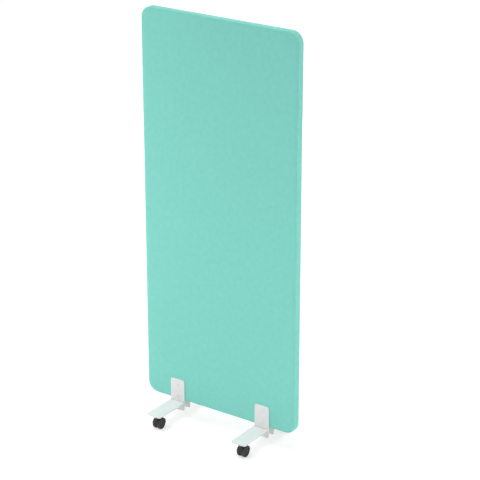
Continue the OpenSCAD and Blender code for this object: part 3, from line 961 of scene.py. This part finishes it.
def castor_hood(settings, axle):
    """Curved hood over both wheels."""
    part = bmesh.new()
    inner, outer = hood_radii(settings)
    wide = settings.wheel_gap / 2 + settings.wheel_width - settings.hood_reveal
    ray = Vector((0, math.cos(settings.hood_rear), math.sin(settings.hood_rear)))
    section = []
    for x, radius in ((-wide, inner), (wide, inner), (wide, outer), (-wide, outer)):
        section.append(part.verts.new(axle + ray * radius + Vector((x, 0, 0))))
    face = part.faces.new(section)
    sweep = settings.hood_front - settings.hood_rear
    bmesh.ops.spin(part, geom=[face], cent=axle, axis=(1, 0, 0), angle=sweep, steps=40)
    tidy_shell(part)
    ease(part, 0.0007, 3)
    return part


def web_outline(settings):
    """Web about the axle as (y, z) points: a sector up to the middle of the hood, a disc
    below it, and an arm to the rear end of the hood."""
    middle = sum(hood_radii(settings)) / 2
    disc = settings.wheel_radius - settings.web_rise
    front = -settings.trail - settings.journal_radius - settings.socket_wall
    rear = settings.web_arm
    tilt = settings.hood_rear / 2
    half = settings.web_arm / 2
    arm_turn = math.asin(half / disc)

    def arc(radius, first, last, count):
        turns = [first + (last - first) * k / count for k in range(count + 1)]
        return [(radius * math.cos(turn), radius * math.sin(turn)) for turn in turns]

    outline = arc(middle, math.acos(rear / middle), math.acos(front / middle), 14)
    outline.append((front, 0))
    outline += arc(disc, math.pi, 2 * math.pi + tilt - arm_turn, 30)
    for rise in (-half, half):
        y = middle * math.cos(tilt) - rise * math.sin(tilt)
        z = middle * math.sin(tilt) + rise * math.cos(tilt)
        outline.append((y, z))
    return outline + arc(disc, tilt + arm_turn, math.acos(rear / disc), 10)


def castor_web(settings, axle):
    """Web between the wheels."""
    part = bmesh.new()
    half = settings.web / 2
    outline = [part.verts.new(axle + Vector((-half, y, z))) for y, z in web_outline(settings)]
    grown = bmesh.ops.extrude_face_region(part, geom=[part.faces.new(outline)])["geom"]
    far_side = only(bmesh.types.BMVert, grown)
    bmesh.ops.translate(part, vec=(settings.web, 0, 0), verts=far_side)
    tidy_shell(part)
    ease(part, 0.0006)
    return part


def castor_knuckle(settings, axle):
    """Round part of the web about the axle."""
    half = settings.wheel_gap / 2 - settings.side_play
    outer = settings.knuckle_radius
    bore = settings.axle_bore
    part = turned([(bore, -half), (outer, -half), (outer, half), (bore, half)], axle, (1, 0, 0))
    ease(part, 0.0005)
    return part


def castor_collar(settings, axle, bore):
    """Collar about the stem that stands on the hood."""
    outer = settings.collar_radius
    top = settings.collar_top
    low = top - settings.collar_height
    profile = [(bore, low), (outer, low), (outer, top), (bore, top)]
    part = turned(profile, (0, 0, 0), (0, 0, 1))
    middle = sum(hood_radii(settings)) / 2
    for v in part.verts:
        run = v.co.y - axle.y
        if v.co.z < (low + top) / 2 and abs(run) < middle:
            v.co.z = max(v.co.z, axle.z + math.sqrt(middle**2 - run**2))
    tidy_shell(part)
    ease(part, 0.0008, 3)
    return part


def stem_socket(settings, wall, journal, floor):
    """Socket of the stem, with room for its snap ring."""
    stem_low, stem_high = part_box("front_right_stem")
    ring_low, ring_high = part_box("stem_rings")
    seat = ring_high.x - (stem_low.x + stem_high.x) / 2 + settings.ring_play
    seat_low = ring_low.z - settings.ring_play
    seat_high = ring_high.z + settings.ring_play
    bottom = floor - settings.socket_wall
    mouth = settings.collar_top - 0.001
    profile = [(0, bottom), (wall, bottom), (wall, mouth), (journal, mouth)]
    profile += [(journal, seat_high), (seat, seat_high), (seat, seat_low), (journal, seat_low)]
    profile += [(journal, floor), (0, floor)]
    return turned(profile, (0, 0, 0), (0, 0, 1), closed=False)


def housing_mesh(settings):
    """Moulded housing with the stem at the origin and the wheels trailing to +Y."""
    axle = Vector((0, settings.trail, settings.wheel_radius))
    stem_low, stem_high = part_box("front_right_stem")
    axle_low, axle_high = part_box("front_right_axle")
    journal = settings.journal_radius + settings.journal_play
    wall = settings.journal_radius + settings.socket_wall
    inset = settings.socket_wall / 2
    floor = stem_low.z - settings.end_play
    for_socket = rod((0, 0, 0), (0, 0, 1), journal + inset, floor - inset, stem_high.z)
    axle_radius = (axle_high.z - axle_low.z) / 2 + settings.journal_play
    for_axle = rod(axle, (1, 0, 0), axle_radius, -settings.wheel_gap, settings.wheel_gap)
    hood = castor_hood(settings, axle)
    bored(hood, for_socket)
    web = castor_web(settings, axle)
    bored(web, for_socket)
    bored(web, for_axle)
    for_socket.free()
    for_axle.free()
    bm = bmesh.new()
    absorb(bm, hood)
    absorb(bm, web)
    absorb(bm, castor_knuckle(settings, axle))
    absorb(bm, castor_collar(settings, axle, wall - 0.0005))
    absorb(bm, stem_socket(settings, wall, journal, floor))
    return bm


def wheel_mesh(settings, face, outward):
    """Rim, dished disc, centre cap and hub of one wheel, from its inner face outwards."""
    rim = settings.wheel_radius - settings.tread
    wide = settings.wheel_width
    bore = settings.axle_bore
    hub = 0.0065
    hub_end = 0.00025
    cap = 0.0066
    cap_top = wide - 0.0006
    cap_inside = wide - 0.002
    ring_top = wide - 0.00025
    dish_top = wide - 0.0015
    dish_back = wide - 0.0035
    rim_inside = rim - 0.0025
    chamfer = 0.001
    profile = [(0, cap_top), (cap, cap_top), (0.0074, ring_top), (0.009, ring_top)]
    profile += [(0.0105, dish_top), (rim - 0.004, dish_top), (rim_inside, wide)]
    profile += [(rim - chamfer, wide), (rim, wide - chamfer), (rim, 0), (rim_inside, 0)]
    profile += [(rim_inside, dish_back), (hub, dish_back), (hub, hub_end), (bore, hub_end)]
    profile += [(bore, cap_inside), (0, cap_inside)]
    bm = turned(profile, face, outward, 64, closed=False)
    ease(bm, 0.0002, angle=25)
    return bm


def tread_mesh(settings, face, outward):
    """Soft tread with rounded shoulders, from its inner face outwards."""
    seat = settings.wheel_radius - settings.tread + 0.00005
    wide = settings.wheel_width
    shoulder = 0.0015
    top = settings.wheel_radius - shoulder
    points = [(seat, 0)]
    for degrees in (-90, -68, -45, -22, 0):
        turn = math.radians(degrees)
        points.append((top + shoulder * math.cos(turn), shoulder + shoulder * math.sin(turn)))
    points += [(radius, wide - height) for radius, height in reversed(points[1:])]
    points.append((seat, wide))
    return turned(points, face, outward, 72)


class SCREEN_OT_build_castors(bpy.types.Operator):
    """Makes the castors' housings, wheels and treads"""

    bl_idname = "screen.build_castors"
    bl_label = "Build the castors"

    def execute(self, context):
        settings = context.scene.divider_castors
        nylon = made_once(moulded, "black_nylon", tuple(settings.nylon), 0.4, 0.25, 2.2)
        rubber = made_once(moulded, "soft_tread_rubber", tuple(settings.rubber), 0.62, 0.4, 1.8)
        for corner, side, depth in CORNERS:
            stem = centre(f"{corner}_stem")
            bm = housing_mesh(settings)
            if depth > 0:
                half_turn(bm)
            bmesh.ops.translate(bm, vec=(stem.x, stem.y, 0), verts=bm.verts)
            name = f"{corner}_castor_housing"
            replaced = (f"{corner}_housing",)
            finish_piece(name, bm, (nylon,), f"castor_{corner}", replaced)
            for which, out in (("outer", side), ("inner", -side)):
                wheel = f"{corner}_{which}"
                x = stem.x + out * settings.wheel_gap / 2
                face = Vector((x, stem.y - depth * settings.trail, settings.wheel_radius))
                for part, make, material, slot in (
                    ("wheel", wheel_mesh, nylon, "black_nylon"),
                    ("tread", tread_mesh, rubber, "soft_tread"),
                ):
                    bm = make(settings, face, (out, 0, 0))
                    name = f"{wheel}_castor_{part}"
                    replaced = (f"{wheel}_{part}",)
                    finish_piece(name, bm, (material,), f"wheel_{wheel}", replaced)
        return {"FINISHED"}


# Pieces that keep their CAD shape


class SCREEN_OT_dress_frame(bpy.types.Operator):
    """Gives the pieces that keep their CAD shape their materials"""

    bl_idname = "screen.dress_frame"
    bl_label = "Dress the frame and stems"

    def execute(self, context):
        pale = (0.72, 0.52, 0.30)
        brown = (0.50, 0.31, 0.15)
        upright = made_once(softwood, "pine_upright", pale, brown, (1.0, 1.0, 0.08))
        level = made_once(softwood, "pine_level", pale, brown, (0.08, 1.0, 1.0))
        ply = made_once(birch_ply, "birch_ply")
        slab = made_once(felted, "mineral_slab", (0.52, 0.48, 0.28), (0.36, 0.33, 0.18), 260.0)
        wadding = made_once(felted, "white_wadding", (0.85, 0.85, 0.8), (0.74, 0.74, 0.7), 420.0)
        wool_cloth = made_once(wool, "melange_wool", context.scene.divider_panel)
        plating = made_once(zinc, "zinc_plate")
        by_ending = {
            "_cover": wool_cloth,
            "_wadding": wadding,
            "_absorber": slab,
            "_stile": upright,
            "_rail": level,
            "_dowels": level,
            "_block": ply,
            "_stem": plating,
            "_rings": plating,
            "_axle": plating,
        }
        for name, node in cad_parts.items():
            for ending, material in by_ending.items():
                if name.endswith(ending):
                    node.data.materials.clear()
                    node.data.materials.append(material)
        return {"FINISHED"}


# Stage

# Softboxes: name, place, point that it looks at, side, power in watts
SOFTBOXES = (
    ("high_left", (-3.0, -2.0, 1.6), (0, 0, 1.1), 2.0, 21.0),
    ("mid_left", (-2.4, -0.8, 1.2), (0, 0, 1.1), 1.4, 29.0),
    ("low_right", (2.4, -2.2, 0.4), (0, 0, 0.5), 1.4, 31.0),
    ("side", (3.4, 0.6, 1.2), (0, 0, 0.9), 2.0, 32.0),
    ("top", (0.0, 0.55, 3.0), (0, 0.2, 1.9), 1.0, 7.0),
    ("rear", (-1.4, 4.2, 1.6), (0, 0, 0.9), 2.5, 62.0),
)


def seen_directly(tree):
    """1 for rays that look, mirror or pass through, 0 for rays that carry light."""
    path = tree.nodes.new("ShaderNodeLightPath").outputs
    looked = sums("MAXIMUM", path["Is Camera Ray"], path["Is Glossy Ray"])
    return sums("MAXIMUM", looked, path["Is Transmission Ray"])


def hang(name, data, place, gaze):
    """Puts a lamp or camera at a place, looking along a direction."""
    holder = placed(name, data)
    holder.location = place
    holder.rotation_euler = Vector(gaze).to_track_quat("-Z", "Y").to_euler()
    return holder


def softbox(name, place, aim, size, power):
    """Square area light that looks at a point."""
    lamp = bpy.data.lights.new(name, "AREA")
    lamp.shape = "SQUARE"
    lamp.size = size
    lamp.energy = power
    hang(name, lamp, place, Vector(aim) - Vector(place))


def studio_world(sky):
    """White where it is looked at, an even soft light everywhere else."""
    world = bpy.data.worlds.new("studio")
    tree = bare_tree(world)
    strength = spread(seen_directly(tree), 0, 1, sky, 1.0)
    light = put(tree, "ShaderNodeBackground", {"Color": (1, 1, 1, 1), "Strength": strength})
    put(tree, "ShaderNodeOutputWorld", {"Surface": light.outputs[0]})
    return world


def pale_floor(size):
    """Floor that shows white with the object's shadow, and carries light as pale paint does."""
    material = bpy.data.materials.new("pale_floor")
    tree = bare_tree(material)
    matt = put(tree, "ShaderNodeBsdfDiffuse", {"Color": (0.5, 0.5, 0.5, 1)})
    bounce = put(tree, "ShaderNodeBsdfDiffuse", {"Color": (0.85, 0.85, 0.85, 1)})
    glow = put(tree, "ShaderNodeEmission", {"Color": (1, 1, 1, 1), "Strength": 0.59})
    shown = put(tree, "ShaderNodeAddShader", {0: matt.outputs[0], 1: glow.outputs[0]})
    choice = {0: seen_directly(tree), 1: bounce.outputs[0], 2: shown.outputs[0]}
    picked = put(tree, "ShaderNodeMixShader", choice)
    put(tree, "ShaderNodeOutputMaterial", {"Surface": picked.outputs[0]})
    bm = bmesh.new()
    bmesh.ops.create_grid(bm, x_segments=1, y_segments=1, size=size / 2)
    mesh = meshed("floor", bm)
    bm.free()
    mesh.materials.append(material)
    placed("floor", mesh)


class SCREEN_OT_set_stage(bpy.types.Operator):
    """Makes the floor, the even light, the softboxes and the camera"""

    bl_idname = "screen.set_stage"
    bl_label = "Set the stage"

    def execute(self, context):
        settings = context.scene.divider_stage
        scene = context.scene
        scene.view_settings.view_transform = "Standard"
        scene.world = studio_world(settings.sky)
        pale_floor(settings.floor_size)
        for name, place, aim, size, power in SOFTBOXES:
            softbox(f"{name}_softbox", place, aim, size, power * settings.softboxes)
        sun = bpy.data.lights.new("overhead_light", "SUN")
        sun.energy = settings.overhead
        sun.angle = math.radians(40)
        hang("overhead_light", sun, (0, 0, 0), (0.05, 0.12, -1))
        camera = bpy.data.cameras.new("studio_camera")
        camera.lens = settings.lens
        camera.clip_end = 200
        level = math.cos(settings.pitch)
        ahead = math.cos(settings.yaw) * level
        gaze = (-math.sin(settings.yaw) * level, ahead, -math.sin(settings.pitch))
        scene.camera = hang("studio_camera", camera, settings.place, gaze)
        return {"FINISHED"}


# Add-on

OPERATORS = (
    SCREEN_OT_upholster_panel,
    SCREEN_OT_weld_feet,
    SCREEN_OT_fit_screws,
    SCREEN_OT_build_castors,
    SCREEN_OT_dress_frame,
    SCREEN_OT_set_stage,
)


class SCREEN_PT_divider(bpy.types.Panel):
    """Lists the steps that make the divider screen"""

    bl_idname = "SCREEN_PT_divider"
    bl_label = "Divider Screen"
    bl_space_type = "VIEW_3D"
    bl_region_type = "UI"
    bl_category = "Divider Screen"

    def draw(self, context):
        for operator in OPERATORS:
            self.layout.operator(operator.bl_idname, text=operator.bl_label)


SETTINGS = (
    ("divider_panel", PanelSettings),
    ("divider_feet", FootSettings),
    ("divider_castors", CastorSettings),
    ("divider_stage", StageSettings),
)


def register():
    for name, group in SETTINGS:
        bpy.utils.register_class(group)
        setattr(bpy.types.Scene, name, PointerProperty(type=group))
    for made in (*OPERATORS, SCREEN_PT_divider):
        bpy.utils.register_class(made)


def unregister():
    for made in (SCREEN_PT_divider, *reversed(OPERATORS)):
        bpy.utils.unregister_class(made)
    for name, group in reversed(SETTINGS):
        delattr(bpy.types.Scene, name)
        bpy.utils.unregister_class(group)


def main():
    register()
    bpy.ops.screen.set_stage()
    bpy.ops.screen.upholster_panel()
    bpy.ops.screen.weld_feet()
    bpy.ops.screen.fit_screws()
    bpy.ops.screen.build_castors()
    bpy.ops.screen.dress_frame()


if __name__ == "__main__":
    main()
